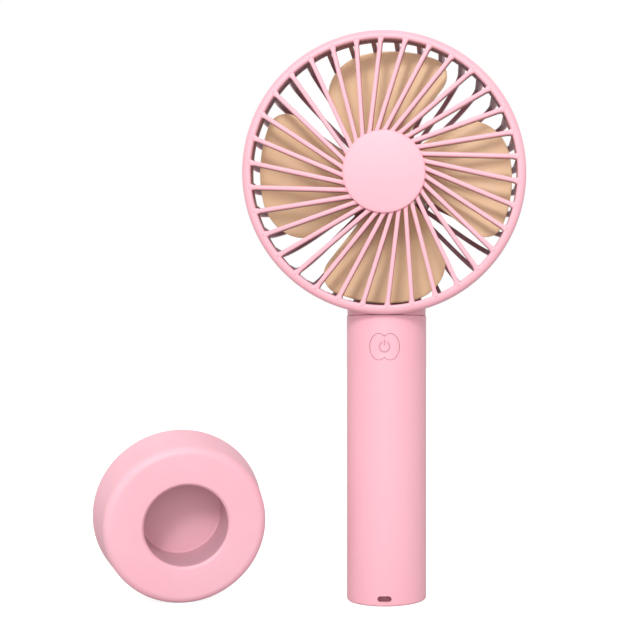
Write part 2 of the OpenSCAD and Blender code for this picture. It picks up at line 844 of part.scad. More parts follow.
module control_chips() {
    color(black) {
        translate([-2.5, control_back, control_bottom + 9]) cube([5, 1.5, 4]);
        translate([-5.5, control_back, control_bottom + 4]) cube([3, 1.1, 2]);
        translate([2.5, control_back, control_bottom + 4]) cube([3, 1.1, 2]);
    }
}

module charge_board() {
    color(green) intersection() {
        translate([0, 0, charge_z]) cylinder(r = charge_r, h = board_t);
        translate([-charge_r, -charge_front, charge_z]) cube([2 * charge_r, 3 * charge_r, board_t]);
    }
}

module charge_chips() {
    color(black) {
        translate([-7.5, -2, charge_z + board_t]) cube([4, 5, 1.5]);
        translate([4, -1, charge_z + board_t]) cube([3, 3, 1]);
    }
}

module usb_shell() {
    color(steel) translate([0, usb_mouth - usb_len, usb_z]) rotate([-90, 0, 0]) difference() {
        linear_extrude(usb_len) stadium(usb_w, usb_h);
        translate([0, 0, 1]) linear_extrude(usb_len) stadium(usb_w - 2 * usb_wall, usb_h - 2 * usb_wall);
    }
}

module usb_tongue() {
    tongue_t = 0.7;
    color(black) translate([-usb_w * 0.36, usb_mouth - usb_len + 1, usb_z - tongue_t / 2])
        cube([usb_w * 0.72, usb_len - 2, tongue_t]);
}

module battery_sled() {
    shell_in = sled_r - sled_wall;
    front = -control_back;
    color(white) difference() {
        union() {
            intersection() {
                difference() {
                    translate([0, 0, sled_bottom]) cylinder(r = sled_r, h = sled_top - sled_bottom);
                    cylinder(r = shell_in, h = head_z);
                }
                translate([-handle_r, -front, 0]) cube([handle_d, handle_d, head_z]);
            }
            translate([0, 0, sled_bottom]) cylinder(r = sled_r, h = sled_floor_t);
            for (share = [0.2, 0.5, 0.8]) sled_plate(cell_bottom + cell_len * share, cell_r + slip_gap);
            sled_plate(ceiling_z, 2.5);
            for (side = [-1, 1]) intersection() {
                translate([side > 0 ? rail_in : -handle_r, -front, control_bottom])
                    cube([handle_r - rail_in, front + 2, control_h]);
                cylinder(r = sled_r, h = head_z);
            }
        }
        translate([-usb_w / 2 - 1, 0, charge_z - eps]) cube([usb_w + 2, handle_d, usb_h + board_t + 1]);
        for (side = [-1, 1]) {
            translate([side * foot_screw_x, 0, 0]) rotate([180, 0, 0])
                screw_room(foot_screw_len + 1, press_gap);
            board_screw_place(side) screw_room(board_screw_len + 0.5, press_gap);
        }
    }
}

// A cross plate of the sled at height z with a round opening
module sled_plate(z, hole) {
    front = -control_back;
    translate([0, 0, z]) difference() {
        intersection() {
            cylinder(r = sled_r - sled_wall / 2, h = sled_floor_t);
            translate([-handle_r, -front, 0]) cube([handle_d, handle_d, sled_floor_t]);
        }
        translate([0, 0, -1]) cylinder(r = hole, h = sled_floor_t + 2);
    }
}

module battery_cell() {
    color("#3f7fb5") translate([0, 0, cell_bottom]) cylinder(r = cell_r, h = cell_len);
}

module cell_insulator() {
    color(white) translate([0, 0, cell_top]) difference() {
        cylinder(r = cell_r - 0.5, h = insulator_t);
        translate([0, 0, -1]) cylinder(r = cell_pip_r + 0.4, h = 3);
    }
}

// Weld strips on both ends of the cell, each reaching out to its lead
module cell_tabs() {
    color(steel) {
        translate([0, 0, cell_bottom - tab_t]) rotate(cell_lead_turn)
            translate([-tab_w, -tab_w / 2, 0]) cube([cell_lead_r + tab_w + 0.6, tab_w, tab_t]);
        translate([0, 0, cell_top + insulator_t]) rotate(-cell_lead_turn + 180)
            translate([-tab_w, -tab_w / 2, 0]) cube([cell_lead_r + tab_w + 0.6, tab_w, tab_t]);
        translate([0, 0, cell_top]) cylinder(r = cell_pip_r, h = insulator_t);
    }
}

// Direction of a lead at point i of its path
function lead_tangent(path, i) =
    let (
        a = path[max(0, i - 1)],
        b = path[min(len(path) - 1, i + 1)],
        d = b - a
    )
    d / norm(d);

// A lead swept along points [across, up] in an upright plane, with an eight-sided ring at each point
module lead(path) {
    sides = 8;
    count = len(path);
    points = [for (i = [0:count - 1], k = [0:sides - 1])
        let (t = lead_tangent(path, i), turn = k * 360 / sides, s = lead_r * sin(turn))
        [lead_r * cos(turn), path[i][0] - s * t[1], path[i][1] + s * t[0]]];
    skin = [for (i = [0:count - 2], k = [0:sides - 1])
        let (a = i * sides + k, b = i * sides + (k + 1) % sides)
        each [[a, a + sides, b], [b, a + sides, b + sides]]];
    caps = concat(
        [for (k = [1:sides - 2]) [0, k, k + 1]],
        [for (k = [1:sides - 2]) let (a = (count - 1) * sides) [a, a + k + 1, a + k]]
    );
    polyhedron(points, concat(skin, caps));
}

// Route of the motor leads as [Y, Z]: down the spine, round the shoulder, through the neck to the board
lead_out = rib_depth - groove_t / 2;
lead_back = guard_reach - lead_out;
lead_turn_y = -shoulder_f;
lead_turn_z = head_z - rim_r + shoulder_r;
lead_turn_r = shoulder_r - lead_out;
lead_turn_end = acos((wire_slot_y - lead_turn_y) / lead_turn_r);
motor_lead_path = concat(
    [[-can_back + lead_r + solder_gap, head_z - motor_r + 2.1],
     [-can_back + lead_r + 0.1, head_z - cup_r + 1], [lead_back, head_z - cup_r - 3]],
    [for (share = [0:0.2:1]) let (turn = share * lead_turn_end)
        [lead_turn_y + lead_turn_r * cos(turn), lead_turn_z - lead_turn_r * sin(turn)]],
    [[wire_slot_y, handle_len], [wire_slot_y, neck_bottom + 1.2], [wire_slot_y - 1.5, neck_bottom - 1.6],
     [wire_slot_y - 4, neck_bottom - 2.6], [control_back + solder_gap, neck_bottom - 2.6]]
);

module motor_leads() {
    color("#b3343a") for (side = [-1, 1]) translate([side * lead_x, 0, 0]) lead(motor_lead_path);
}

// The cell's leads rise beside the cell and turn in onto the charge board
module battery_leads() {
    pad_z = charge_z + board_t;
    shares = [[0, 0.4], [0.18, 0.88], [0.48, 1], [0.88, 0.84], [1, 0.44]];
    bend = concat(
        [for (s = shares) [cell_lead_r - lead_in * s[0], pad_z + lead_rise * s[1]]],
        [[cell_lead_r - lead_in, pad_z + solder_gap]]
    );
    color("#26262a") {
        rotate(cell_lead_turn - 90) lead(concat([[cell_lead_r, cell_bottom + solder_gap]], bend));
        rotate(90 - cell_lead_turn) lead(concat([[cell_lead_r, ceiling_z - solder_gap]], bend));
    }
}

module board_leads() {
    low = charge_z + board_t + solder_gap;
    high = control_bottom + 7;
    path = [
        [5, low], [5, low + 1.6], [4.2, high - 4.6], [2.4, high - 1.6],
        [0, high], [control_back + solder_gap, high]
    ];
    color("#26262a") for (side = [-1, 1]) translate([side * 6.2, 0, 0]) lead(path);
}

// Lays the upright base on its tapered side, mouth to the front
module lying() {
    translate([base_x, base_y, base_edge]) rotate([0, 0, base_yaw]) rotate([90 + base_taper, 0, 0])
        translate([0, base_edge_r, -base_edge]) children();
}

module base_shell() {
    outer = concat(
        [[0, 0]],
        arc(base_edge_r, base_edge, base_edge, -90, base_taper, 6),
        arc(base_mouth_r, base_h - base_shoulder_r, base_shoulder_r, base_taper, 90, 10),
        [[0, base_h]]
    );
    floor_z = plate_z + base_plate_t + socket_floor_t;
    hollow_top = base_h - base_wall;
    hollow = [
        [socket_r + base_wall, 0], [plate_r, 0], [plate_r, plate_z + base_plate_t],
        [plate_r - 0.8, plate_z + base_plate_t],
        [base_mouth_r + base_shoulder_r * 0.4 - base_wall, hollow_top], [socket_r + base_wall, hollow_top]
    ];
    color(pink) lying() difference() {
        union() {
            difference() {
                rotate_extrude() polygon(outer);
                rotate_extrude() polygon(hollow);
            }
            for (turn = base_turns) rotate(turn) translate([base_post_orbit, 0, plate_z + base_plate_t])
                cylinder(r = base_post_r, h = hollow_top - plate_z - base_plate_t + eps);
        }
        translate([0, 0, floor_z]) cylinder(r = socket_r, h = base_h);
        translate([0, 0, base_h - 0.8]) cylinder(r1 = socket_r, r2 = socket_r + 0.8, h = 0.8 + eps);
        translate([0, 0, -1]) cylinder(r = plate_r, h = plate_z + base_plate_t + 1);
        for (turn = base_turns) rotate(turn) translate([base_post_orbit, 0, plate_z]) rotate([180, 0, 0])
            screw_room(base_screw_len + 0.5, press_gap);
    }
}

module base_plate() {
    color(pink) lying() difference() {
        translate([0, 0, plate_z]) cylinder(r = plate_r - slip_gap, h = base_plate_t);
        for (turn = base_turns) rotate(turn) translate([base_post_orbit, 0, plate_z]) rotate([180, 0, 0])
            screw_room(base_screw_len, press_gap);
    }
}

module base_pads() {
    color(black) lying() for (turn = base_turns) rotate(turn + 45) translate([base_post_orbit, 0, 0])
        cylinder(r = pad_r, h = plate_z);
}

module base_screws() {
    color(steel) lying() for (turn = base_turns) rotate(turn) translate([base_post_orbit, 0, plate_z])
        rotate([180, 0, 0]) flat_screw(base_screw_len);
}

front_grille();
hub_cap();
rear_guard();
impeller();
motor_can();
motor_end_cap();
motor_magnets();
front_bush();
rear_bush();
motor_shaft();
armature_core();
armature_windings();
commutator();
motor_brushes();
motor_terminals();
motor_keeper();
motor_screws();
neck_screws();
handle_tube();
foot_cap();
foot_screws();
power_button();
switch_plunger();
tact_switch();
control_board();
control_chips();
board_screws();
charge_board();
charge_chips();
usb_shell();
usb_tongue();
battery_sled();
battery_cell();
cell_insulator();
cell_tabs();
motor_leads();
battery_leads();
board_leads();
base_shell();
base_plate();
base_pads();
base_screws();
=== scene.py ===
# %% [markdown]
# # A handheld fan and its desk base
# The fan is a battery fan in pale pink plastic: a round caged head, four broad tan blades, a plain tubular
# handle with one push button, and a loose base that the handle can stand in. Its solids come from a packed
# CAD model, which stays fixed. This lesson gives them finishes, and makes the pieces that show most again
# as fine surfaces. All lengths are written in millimetres and scaled to metres where a mesh is made.

import json
import math

import bmesh
import bpy
import numpy as np
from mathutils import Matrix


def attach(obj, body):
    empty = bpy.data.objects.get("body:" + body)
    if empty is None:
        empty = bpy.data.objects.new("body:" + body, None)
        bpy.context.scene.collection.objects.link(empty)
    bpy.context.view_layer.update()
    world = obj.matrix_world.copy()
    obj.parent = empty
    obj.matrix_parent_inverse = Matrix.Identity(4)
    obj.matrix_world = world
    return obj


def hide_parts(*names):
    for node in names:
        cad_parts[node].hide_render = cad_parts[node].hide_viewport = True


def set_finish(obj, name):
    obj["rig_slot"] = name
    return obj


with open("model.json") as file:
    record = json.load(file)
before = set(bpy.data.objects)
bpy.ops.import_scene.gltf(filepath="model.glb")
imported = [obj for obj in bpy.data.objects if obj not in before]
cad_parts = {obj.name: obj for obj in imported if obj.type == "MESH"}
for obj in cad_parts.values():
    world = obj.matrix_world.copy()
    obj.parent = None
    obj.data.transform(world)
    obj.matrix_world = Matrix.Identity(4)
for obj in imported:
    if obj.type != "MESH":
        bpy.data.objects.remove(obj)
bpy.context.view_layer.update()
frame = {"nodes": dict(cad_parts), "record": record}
nodes = frame["nodes"]
MM = 0.001

# %% [markdown]
# ## The camera
# A product picture like this one is taken with a moderately long lens, held level and square to the fan's
# face, so that the handle's sides stay parallel and the ring stays a circle. The foot's edge shows as a
# shallow curve, which says how far above the foot the lens stands. The inner wall of the ring shows more on
# the left, which says that the lens stands a little to the right. To frame the fan and its base, the lens
# is moved in its mount, not turned, as one does with a view camera.

# %% Camera
LENS_ASIDE, LENS_DISTANCE, LENS_HEIGHT = 23.0, 439.4, 94.0
FRAME_PIXELS, FOCAL_PIXELS, SENSOR_WIDTH = 640, 1158.0, 36.0
HANDLE_COLUMN, HORIZON_ROW = 386.6, 350.5


def place_camera():
    """A level camera that looks along +Y. A shift of s moves what it sees by -s times the picture's width,
    so the shift that puts the handle on its column is (middle - column - focal * aside / distance) / width,
    all in pixels."""
    lens = bpy.data.cameras.new("camera")
    camera = bpy.data.objects.new("camera", lens)
    bpy.context.scene.collection.objects.link(camera)
    camera.location = (LENS_ASIDE * MM, -LENS_DISTANCE * MM, LENS_HEIGHT * MM)
    camera.rotation_euler = (math.pi / 2, 0, 0)
    lens.sensor_width = SENSOR_WIDTH
    lens.lens = FOCAL_PIXELS / FRAME_PIXELS * SENSOR_WIDTH
    handle_aside = -FOCAL_PIXELS * LENS_ASIDE / LENS_DISTANCE
    lens.shift_x = -(HANDLE_COLUMN - FRAME_PIXELS / 2 - handle_aside) / FRAME_PIXELS
    lens.shift_y = (HORIZON_ROW - FRAME_PIXELS / 2) / FRAME_PIXELS
    lens.clip_start = 0.01
    bpy.context.scene.camera = camera
    return camera


camera = place_camera()
print("camera:", [round(v, 3) for v in camera.location], "lens", round(camera.data.lens, 1), "mm")

# %% [markdown]
# ## Surfaces from arrays
# Every new piece here is turned, swept or bent, so its surface is a grid: one direction follows the
# profile, the other follows the turn or the path. A grid needs no modelling by hand. Its points come from a
# formula on whole arrays, and its faces from the grid's numbering alone. Profiles are written as a few
# corners with a rounding each, because a moulded edge is never quite sharp and its small round is what
# catches the light.


# %% Grids, profiles and turned shapes
def grid_faces(rows, cols, wrap_rows, wrap_cols):
    """Corner numbers of a grid's quads: point (i, j) is number i * cols + j, and a wrapped side closes."""
    i = np.arange(rows if wrap_rows else rows - 1)[:, None]
    j = np.arange(cols if wrap_cols else cols - 1)[None, :]
    next_i, next_j = (i + 1) % rows, (j + 1) % cols
    corners = [i * cols + j, i * cols + next_j, next_i * cols + next_j, next_i * cols + j]
    return np.stack(np.broadcast_arrays(*corners), axis=-1).reshape(-1, 4)


def rounded(corners, steps=6, closed=True):
    """A profile with round corners: each corner (x, y, radius) becomes an arc that touches both its sides.
    The arc's centre lies on the corner's bisector, radius / sin(half the corner's angle) away."""
    data = np.array(corners, float)
    point, radius = data[:, :2], np.maximum(data[:, 2], 1e-4)
    to_last, to_next = np.roll(point, 1, axis=0) - point, np.roll(point, -1, axis=0) - point
    to_last /= np.linalg.norm(to_last, axis=1, keepdims=True)
    to_next /= np.linalg.norm(to_next, axis=1, keepdims=True)
    half = np.arccos(np.clip((to_last * to_next).sum(axis=1), -1, 1)) / 2
    bisector = to_last + to_next
    bisector /= np.linalg.norm(bisector, axis=1, keepdims=True)
    centre = point + bisector * (radius / np.sin(half))[:, None]
    first = point + to_last * (radius / np.tan(half))[:, None] - centre
    last = point + to_next * (radius / np.tan(half))[:, None] - centre
    sweep = np.pi - 2 * half
    share = np.linspace(0, 1, steps)[None, :, None]
    weight_a = np.sin((1 - share) * sweep[:, None, None]) / np.sin(sweep)[:, None, None]
    weight_b = np.sin(share * sweep[:, None, None]) / np.sin(sweep)[:, None, None]
    arcs = centre[:, None] + weight_a * first[:, None] + weight_b * last[:, None]
    if not closed:
        arcs[0], arcs[-1] = point[0], point[-1]
    return arcs.reshape(-1, 2)


def turned(profile, steps=192):
    """A turned surface: the profile's (radius, height) goes once round the axis, x = radius * cos(turn),
    y = radius * sin(turn), z = height."""
    turn = np.linspace(0, 2 * np.pi, steps, endpoint=False)[:, None]
    radius, height = profile[None, :, 0], profile[None, :, 1]
    return np.stack(np.broadcast_arrays(radius * np.cos(turn), radius * np.sin(turn), height), axis=-1)


# %% [markdown]
# ## From grids to pieces
# A piece is one mesh made of one or more grids. Points that fall on each other, as where a turned surface
# meets its axis, are merged, and the faces are turned outwards. The mesh is smooth except along edges that
# bend by more than a set angle. The piece is in its place from the start, with its object at the origin.

# %% Piece maker
MERGE, SLIVER = 0.0002, 0.00001  # in mm: points nearer than this are one point; shorter edges vanish


def make_piece(name, grids, body, slot, stands_for=(), sharp=40, uv=None):
    """One mesh from grids of points in mm: each grid is (points, wrap rows, wrap columns)."""
    start, points, faces = 0, [], []
    for grid, wrap_rows, wrap_cols in grids:
        rows, cols = grid.shape[:2]
        points.append(grid.reshape(-1, 3))
        faces.append(grid_faces(rows, cols, wrap_rows, wrap_cols) + start)
        start += rows * cols
    mesh = bpy.data.meshes.new(name)
    mesh.from_pydata(np.concatenate(points) * MM, [], np.concatenate(faces).tolist())
    if uv is not None:
        layer = mesh.uv_layers.new(name="along")
        corner = np.zeros(len(mesh.loops), np.int32)
        mesh.loops.foreach_get("vertex_index", corner)
        layer.data.foreach_set("uv", uv[corner].astype(np.float32).ravel())
    shape = bmesh.new()
    shape.from_mesh(mesh)
    bmesh.ops.remove_doubles(shape, verts=shape.verts, dist=MERGE * MM)
    bmesh.ops.dissolve_degenerate(shape, edges=shape.edges, dist=SLIVER * MM)
    bmesh.ops.recalc_face_normals(shape, faces=shape.faces)
    shape.to_mesh(mesh)
    shape.free()
    mesh.polygons.foreach_set("use_smooth", np.ones(len(mesh.polygons), bool))
    mesh.set_sharp_from_angle(angle=math.radians(sharp))
    piece = bpy.data.objects.new(name, mesh)
    bpy.context.scene.collection.objects.link(piece)
    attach(piece, body)
    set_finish(piece, slot)
    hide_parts(*stands_for)
    print(name + ":", len(mesh.polygons), "faces, stands for", ", ".join(stands_for))
    return piece


# %% [markdown]
# ## The head's own frame
# The ring, the grille and the blades all share one axis, which runs from back to front through the middle
# of the head. It is easier to shape them round an upright axis, and then to lay that axis down: x stays to
# the right, the shape's y becomes up, and its height becomes the distance in front of the handle's axis.

# %% Head frame
HEAD_Z = 159.1


def in_head(points):
    """Lays a shape turned round z into the head: (x, y, z) goes to (x, -z, y + the head's height)."""
    return np.stack([points[..., 0], -points[..., 2], points[..., 1] + HEAD_Z], axis=-1)


# %% [markdown]
# ## The front grille
# The grille is one moulding: an outer ring with a rounded front edge, a small hub behind the disc, and
# thirty-four straight spokes. The spokes don't point at the middle. Each passes it at the same distance, so
# that together they swirl. A spoke is a rounded bar, so it is a profile carried along a straight path, and
# it widens a little where it runs into the ring and in under the disc, as a moulded bar does.

# %% Front grille
RING_R, OPENING_R, LAP_R, FACE, SEAM, LAP_END = 51.9, 48.6, 49.9, 18.5, 14.8, 13.5
SPOKES, SPOKE_OFFSET, SPOKE_PHASE = 34, 6.95, -1.5
SPOKE_HALF, SPOKE_BACK = 0.8, 14.9
HUB_R, HUB_FACE, PEG_HOLE_R = 14.1, 18.3, 6.02
RING_FLARE, HUB_FLARE = 1.8, 1.4  # lengths over which a spoke widens
RING_WIDENING, HUB_WIDENING = 0.5, 0.2
IN_RING, IN_HUB = 0.9, 2.2  # how far a spoke runs into the ring, and in under the disc's edge
DISC_R = 15.1

ring = rounded([
    (OPENING_R, SEAM, 0.15), (LAP_R, SEAM, 0.1), (LAP_R, LAP_END, 0.1), (RING_R, LAP_END, 0.25),
    (RING_R, FACE, 2.2), (OPENING_R, FACE, 0.8)], steps=9)
grille_hub = rounded([
    (PEG_HOLE_R, SPOKE_BACK, 0.2), (HUB_R, SPOKE_BACK, 0.4),
    (HUB_R, HUB_FACE, 0.3), (PEG_HOLE_R, HUB_FACE, 0.1)])
spoke_section = rounded([
    (-SPOKE_HALF, SPOKE_BACK, 0.3), (SPOKE_HALF, SPOKE_BACK, 0.3),
    (SPOKE_HALF, FACE, 0.5), (-SPOKE_HALF, FACE, 0.5)], steps=5)


def with_ends(rows, first, last):
    """Rows of a grid between two rows of one value each, so that the ends of a bar close to a point."""
    return np.concatenate([np.full_like(rows[:1], first), rows, np.full_like(rows[:1], last)])


def spoke_grids():
    """A spoke's section (across, height) along stations s: the point is (s, offset + across * flare,
    height), then turned round the axis. flare grows with the square of the nearness to ring and disc."""
    ring_s = math.sqrt(OPENING_R**2 - SPOKE_OFFSET**2)
    hub_s = math.sqrt(DISC_R**2 - SPOKE_OFFSET**2)
    station = np.concatenate([
        np.linspace(hub_s - IN_HUB, hub_s + HUB_FLARE, 6), np.linspace(hub_s + 5, ring_s - 5, 4),
        np.linspace(ring_s - RING_FLARE, ring_s, 7), [ring_s + IN_RING]])
    near_ring = np.clip((station - ring_s + RING_FLARE) / RING_FLARE, 0, 1) ** 2
    near_hub = np.clip((hub_s + HUB_FLARE - station) / HUB_FLARE, 0, 1) ** 2
    flare = 1 + RING_WIDENING * near_ring + HUB_WIDENING * near_hub
    across = SPOKE_OFFSET + flare[:, None] * spoke_section[None, :, 0]
    along = np.broadcast_to(station[:, None], across.shape)
    height = np.broadcast_to(spoke_section[None, :, 1], across.shape)
    middle = (SPOKE_BACK + FACE) / 2
    along = with_ends(along, station[0], station[-1])
    across = with_ends(across, SPOKE_OFFSET, SPOKE_OFFSET)
    height = with_ends(height, middle, middle)
    turns = np.radians(SPOKE_PHASE + np.arange(SPOKES) * 360 / SPOKES)[:, None, None]
    x = along * np.cos(turns) - across * np.sin(turns)
    y = along * np.sin(turns) + across * np.cos(turns)
    return list(np.stack(np.broadcast_arrays(x, y, height[None]), axis=-1))


front_grille = make_piece(
    "grille_moulding",
    [(in_head(turned(ring)), True, True), (in_head(turned(grille_hub, 96)), True, True)]
    + [(in_head(spoke), False, True) for spoke in spoke_grids()],
    "fan_body", "pink_shell", ["front_grille"])

# %% [markdown]
# ## The disc in the middle
# The plain disc that covers the spokes' inner ends is a separate cap with a peg behind it. Its face is a
# very flat dome. A flat dome is easy to get wrong as a mesh, because long thin faces shade badly, so the
# radius is divided evenly and the height comes from the circle's own formula.

# %% Hub disc
DISC_EDGE, DISC_CROWN, DISC_ROUND = 1.0, 0.8, 0.35
PEG_R, PEG_END = 6.0, 15.3


def arc(x, y, radius, start, end, steps):
    """Points on a circle's arc: (x + radius * cos(turn), y + radius * sin(turn))."""
    turn = np.radians(np.linspace(start, end, steps))
    return np.stack([x + radius * np.cos(turn), y + radius * np.sin(turn)], axis=-1)


def disc_profile():
    """Height above the seat at radius r: edge + crown - (R - sqrt(R^2 - r^2)), where R is the dome's
    radius. The rounded edge and the peg behind follow it."""
    dome = (DISC_R**2 + DISC_CROWN**2) / (2 * DISC_CROWN)
    r = np.linspace(0, DISC_R - DISC_ROUND, 22)
    face = np.stack([r, FACE + DISC_EDGE + DISC_CROWN - dome + np.sqrt(dome**2 - r**2)], axis=-1)
    edge = arc(DISC_R - DISC_ROUND, FACE + DISC_EDGE - DISC_ROUND, DISC_ROUND, 75, 0, 6)
    back = rounded([
        (DISC_R - 0.1, FACE, 0), (PEG_R, FACE, 0.1), (PEG_R, PEG_END, 0.4), (0, PEG_END, 0)], closed=False)
    return np.concatenate([face, edge, [[DISC_R, FACE + 0.1]], back])


hub_disc = make_piece(
    "hub_disc", [(in_head(turned(disc_profile())), True, False)], "fan_body", "pink_shell", ["hub_cap"])

# %% [markdown]
# ## The blades
# The impeller has four broad blades on a hub. Each blade is a piece of a screw surface: going round the
# axis from its front edge to its rear edge, it falls steadily back. Its front corner is rounded a little
# and its rear corner a lot, and the whole blade bends forwards towards its root, in the same sense as the
# spokes. The blade is made as a closed section, which is a thin lens-ended strip, carried outwards along
# the radius, and it thins out at the tip so that its edge is round.

# %% Impeller
BLADES, BLADE_R, BLADE_ROOT, BLADE_PHASE = 4, 47.4, 12.4, 0.5
BLADE_HALF, BLADE_WIDENING = 34.0, 0.16  # half-angle at the tip, and its growth towards the middle
BLADE_SWEEP, SWEEP_POWER = 10.5, 1.65
BLADE_REACH, BLADE_THICK, TIP_ROUND = 3.5, 1.3, 0.7
ROOT_PITCH, TIP_PITCH = 4.0, 5.5
FRONT_CORNER, FRONT_SHARE = 8.8, 0.7  # length of a corner's round, and the half-angle's share at the tip
REAR_CORNER, REAR_SHARE = 13.0, 0.3


def blade_edge(r, corner, tip_share):
    """Half-angle of an edge at radius r: it narrows outwards, then follows an ellipse at the tip."""
    full = BLADE_HALF * (1 + BLADE_WIDENING * (1 - r / BLADE_R))
    tip = BLADE_HALF * tip_share
    share = np.clip((r - BLADE_R + corner) / corner, 0, 1)
    return tip + (full - tip) * np.sqrt(1 - share**2)


def blade_grids(rows=40, cols=36):
    """Points on closed blade sections and their UV (chord share, radius share). Depth = reach - pitch *
    turn / half-angle, plus or minus a half thickness that follows a superellipse over the chord and a
    circle at the tip. The sweep, which grows as a power of the distance from the tip, is added to the turn
    after that."""
    outwards = np.sin(np.linspace(0, np.pi / 2, rows))
    r = (BLADE_ROOT + (BLADE_R - BLADE_ROOT) * outwards)[:, None]
    share = (r - BLADE_ROOT) / (BLADE_R - BLADE_ROOT)
    lap = np.linspace(0, 2 * np.pi, 2 * cols, endpoint=False)[None, :]
    chord = (1 - np.cos(lap)) / 2
    front = -blade_edge(r, FRONT_CORNER, FRONT_SHARE)
    back = blade_edge(r, REAR_CORNER, REAR_SHARE)
    turn = front + (back - front) * chord
    pitch = ROOT_PITCH + (TIP_PITCH - ROOT_PITCH) * share
    near_tip = np.clip((r - BLADE_R + TIP_ROUND) / TIP_ROUND, 0, 1)
    over_chord = (1 - np.abs(2 * chord - 1) ** 14) ** 0.5
    half = BLADE_THICK / 2 * over_chord * np.sqrt(1 - 0.96 * near_tip**2)
    depth = BLADE_REACH - pitch * turn / BLADE_HALF + half * np.where(lap < np.pi, 1, -1)
    place = turn + BLADE_SWEEP * (1 - share) ** SWEEP_POWER + BLADE_PHASE
    turns = np.radians(place[None] + np.arange(BLADES)[:, None, None] * 360 / BLADES)
    points = np.stack(np.broadcast_arrays(r * np.cos(turns), r * np.sin(turns), depth[None]), axis=-1)
    uv = np.stack(np.broadcast_arrays(chord, share), axis=-1)
    return list(points), uv.reshape(-1, 2)


NOSE_R, NOSE_FACE, NOSE_BACK, NOSE_HOLLOW = 13.2, 9.5, -1.5, (11.6, 7.9)
SHAFT_BOSS_R, SHAFT_HOLE_R, SHAFT_HOLE_END = 3.2, 1.02, 8.4
NOSE_STEPS = 96

nose_profile = rounded([
    (0, NOSE_FACE, 0), (NOSE_R, NOSE_FACE, 1.2), (NOSE_R, NOSE_BACK, 0.3), (NOSE_HOLLOW[0], NOSE_BACK, 0.3),
    (*NOSE_HOLLOW, 0.6), (SHAFT_BOSS_R, NOSE_HOLLOW[1], 0.3), (SHAFT_BOSS_R, NOSE_BACK, 0.2),
    (SHAFT_HOLE_R, NOSE_BACK, 0.1), (SHAFT_HOLE_R, SHAFT_HOLE_END, 0), (0, SHAFT_HOLE_END, 0)], closed=False)
blades, blade_uv = blade_grids()
nose_uv = np.tile([[0.5, 0.05]], (NOSE_STEPS * len(nose_profile), 1))
impeller = make_piece(
    "impeller_moulding",
    [(in_head(blade), False, True) for blade in blades]
    + [(in_head(turned(nose_profile, NOSE_STEPS)), True, False)],
    "rotor", "tan_blade", ["impeller"], uv=np.concatenate([blade_uv] * BLADES + [nose_uv]))

# %% [markdown]
# ## The desk base
# The base is a turned shape too: a tapered side, a rounded shoulder, a flat mouth and a straight socket for
# the handle. It lies on its tapered side next to the fan, with its mouth to the viewer, so the turned
# shape is laid down in the same way as the CAD lays its own.

# %% Base shell
BASE_PLACE, BASE_YAW, BASE_TAPER = (-82.0, 12.0, 0.8), 20.0, 6.5
BASE_EDGE, BASE_EDGE_R, BASE_HEIGHT, BASE_ROUND = 0.8, 31.2, 24.0, 3.2
SOCKET_R, SOCKET_FLOOR, SOCKET_BEVEL = 15.4, 4.4, 0.8
PLATE_RECESS, SOCKET_WALL_R, CEILING = (29.4, 2.4), 17.6, 21.8  # the hollow under the mouth
HOLLOW_FOOT_R, HOLLOW_TOP_R = 28.6, 25.59
MOUTH_FLAT_R, FOOT_FLAT_R = 20.0, 30.4  # on the two flat rings, where the parts of the profile meet


def lying(points):
    """Upright base to lying base: take the foot edge's centre to the origin, tip by 90 degrees and the
    taper, turn by the yaw, and move to its place on the floor."""
    tip, yaw = math.radians(90 + BASE_TAPER), math.radians(BASE_YAW)
    tipping = np.array([[1, 0, 0], [0, math.cos(tip), -math.sin(tip)], [0, math.sin(tip), math.cos(tip)]])
    turning = np.array([[math.cos(yaw), -math.sin(yaw), 0], [math.sin(yaw), math.cos(yaw), 0], [0, 0, 1]])
    return (points + [0, BASE_EDGE_R, -BASE_EDGE]) @ (turning @ tipping).T + BASE_PLACE


def shoulder_radius():
    """Radius of the shoulder's centre line: the tapered side touches the foot edge's round and the
    shoulder's round, so over the height between their centres it goes in by height * tan(taper), and by
    the difference of the two rounds / cos(taper)."""
    taper, height = math.radians(BASE_TAPER), BASE_HEIGHT - BASE_ROUND - BASE_EDGE
    return BASE_EDGE_R - height * math.tan(taper) - (BASE_ROUND - BASE_EDGE) / math.cos(taper)


socket = rounded([
    (0, SOCKET_FLOOR, 0), (SOCKET_R, SOCKET_FLOOR, 0.5), (SOCKET_R, BASE_HEIGHT - SOCKET_BEVEL, 0.3),
    (SOCKET_R + SOCKET_BEVEL, BASE_HEIGHT, 0.3), (MOUTH_FLAT_R, BASE_HEIGHT, 0)], closed=False)
shoulder = arc(shoulder_radius(), BASE_HEIGHT - BASE_ROUND, BASE_ROUND, 90, BASE_TAPER, 12)
foot_edge = arc(BASE_EDGE_R, BASE_EDGE, BASE_EDGE, BASE_TAPER, -90, 9)
inside = rounded([
    (FOOT_FLAT_R, 0, 0), (PLATE_RECESS[0], 0, 0.2), (*PLATE_RECESS, 0.1),
    (HOLLOW_FOOT_R, PLATE_RECESS[1], 0.1), (HOLLOW_TOP_R, CEILING, 0.5),
    (SOCKET_WALL_R, CEILING, 0.5), (SOCKET_WALL_R, PLATE_RECESS[1], 0.2),
    (0, PLATE_RECESS[1], 0)], closed=False)
side_rows = shoulder[-1] + (foot_edge[0] - shoulder[-1]) * np.linspace(0.1, 0.9, 9)[:, None]
base_profile = np.concatenate([socket, shoulder, side_rows, foot_edge, inside])
base = make_piece(
    "base_moulding", [(lying(turned(base_profile)), True, False)], "desk_base", "pink_base", ["base_shell"])

